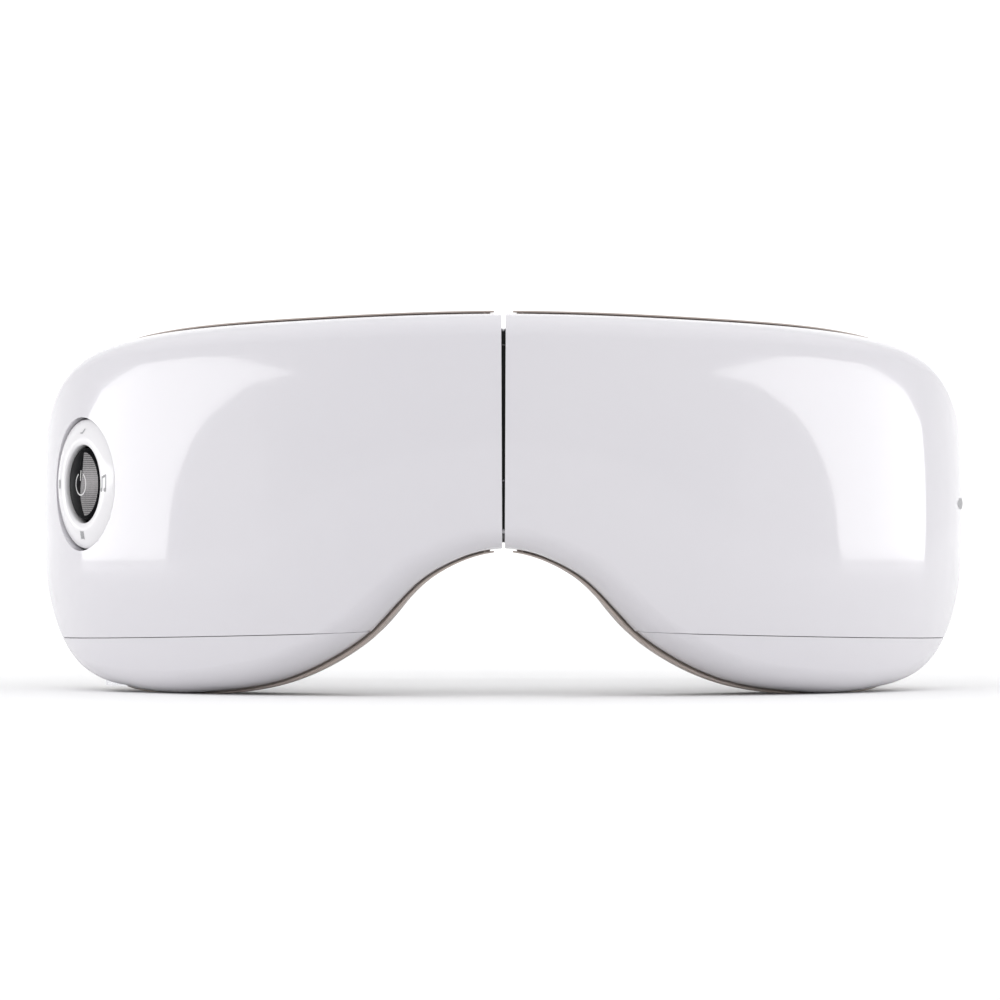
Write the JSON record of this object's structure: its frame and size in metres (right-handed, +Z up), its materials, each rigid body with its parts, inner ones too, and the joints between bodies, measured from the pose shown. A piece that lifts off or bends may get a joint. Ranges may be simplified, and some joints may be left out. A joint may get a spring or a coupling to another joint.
{
  "type": "eye massager mask",
  "caption": "Folding wrap-around eye massager mask: glossy white halves on a pin hinge, round control panel on one temple, soft eye pads inside and an elastic head strap.",
  "frame": {"origin": "middle of the bounding box in plan, at the level of the lobes that it stands on", "axes": "+X to the viewer's right when facing the mask, -Y out of the front, +Z up as worn"},
  "size_m": [0.2012, 0.1702, 0.08],
  "materials": {
    "gloss_white": "gloss",
    "taupe": "satin",
    "grey_frame": "matte",
    "soft_pad": "matte",
    "knit": "matte",
    "silicone": "satin",
    "heater": "satin",
    "black_plastic": "gloss",
    "steel": "satin",
    "board": "satin",
    "cell": "satin",
    "cone": "matte",
    "webbing": "matte"
  },
  "bodies": {
    "left_half": {"front_shell_left": "gloss_white", "lower_cover_left": "gloss_white", "trim_band_left": "taupe", "rear_frame_left": "grey_frame", "face_pad_left": "soft_pad", "inner_lining_left": "knit", "airbag_left": "silicone", "air_hose_left": "silicone", "speaker_left": "cone", "shaker_motor_left": "steel", "hinge_leaf_left": "black_plastic", "strap_lug_left": "grey_frame", "body_screw_left_top_inner": "steel", "body_screw_left_top_outer": "steel", "body_screw_left_bottom": "steel", "hinge_screw_left_lower": "steel", "hinge_screw_left_upper": "steel", "hinge_pin": "steel", "bridge_harness": "silicone", "panel_seat": "black_plastic", "button_board": "board", "main_board": "board", "charging_socket": "steel", "head_strap": "webbing"},
    "right_half": {"front_shell_right": "gloss_white", "lower_cover_right": "gloss_white", "trim_band_right": "taupe", "rear_frame_right": "grey_frame", "face_pad_right": "soft_pad", "inner_lining_right": "knit", "airbag_right": "silicone", "air_hose_right": "silicone", "speaker_right": "cone", "shaker_motor_right": "steel", "hinge_leaf_right": "black_plastic", "strap_lug_right": "grey_frame", "body_screw_right_top_inner": "steel", "body_screw_right_top_outer": "steel", "body_screw_right_bottom": "steel", "hinge_screw_right_lower": "steel", "hinge_screw_right_upper": "steel", "battery": "cell", "air_pump": "steel", "solenoid_valve": "steel"},
    "rocker": {"rocker_gimbal": "grey_frame"},
    "ring": {"control_ring": "gloss_white"},
    "button": {"power_button": "black_plastic"},
    "left_eye_pad": {"eye_pad_left": "knit", "heating_film_left": "heater"},
    "right_eye_pad": {"eye_pad_right": "knit", "heating_film_right": "heater"},
    "left_weight": {"shaker_weight_left": "steel"},
    "right_weight": {"shaker_weight_right": "steel"},
    "slider": {"strap_slider": "black_plastic"}
  },
  "joints": [
    {"name": "fold", "type": "hinge", "parent": "left_half", "child": "right_half", "pos_m": [0, -0.0768, 0.055], "axis": [0, 0, 1], "range_deg": [0, 70], "deforming": ["head_strap", "bridge_harness"]},
    {"name": "ring_tilt_sideways", "type": "hinge", "parent": "left_half", "child": "rocker", "pos_m": [-0.08633, -0.0326, 0.0442], "axis": [0, 0, 1], "range_deg": [-2, 2], "stiffness_Nm_per_rad": 0.3},
    {"name": "ring_tilt_up_down", "type": "hinge", "parent": "rocker", "child": "ring", "pos_m": [-0.08633, -0.0326, 0.0442], "axis": [0.4965, -0.868, 0], "range_deg": [-2, 2], "stiffness_Nm_per_rad": 0.3},
    {"name": "button_press", "type": "slide", "parent": "left_half", "child": "button", "axis": [0.868, 0.4965, 0], "range_m": [0, 0.0004], "stiffness_N_per_m": 3000},
    {"name": "left_eye_pad_push", "type": "slide", "parent": "left_half", "child": "left_eye_pad", "axis": [0.4584, 0.8888, 0], "range_m": [0, 0.004], "stiffness_N_per_m": 300},
    {"name": "right_eye_pad_push", "type": "slide", "parent": "right_half", "child": "right_eye_pad", "axis": [-0.4584, 0.8888, 0], "range_m": [0, 0.004], "stiffness_N_per_m": 300},
    {"name": "left_weight_spin", "type": "hinge", "parent": "left_half", "child": "left_weight", "pos_m": [-0.05864, -0.05771, 0.018], "axis": [0.8056, -0.5924, 0], "continuous": true},
    {"name": "right_weight_spin", "type": "hinge", "parent": "right_half", "child": "right_weight", "pos_m": [0.05864, -0.05771, 0.018], "axis": [0.8056, 0.5924, 0], "continuous": true},
    {"name": "slider_travel", "type": "slide", "parent": "left_half", "child": "slider", "axis": [0.1276, 0.9918, 0], "range_m": [-0.012, 0.012]}
  ],
  "couplings": [
    {"joint": "right_eye_pad_push", "follows": "left_eye_pad_push", "ratio": 1}
  ]
}
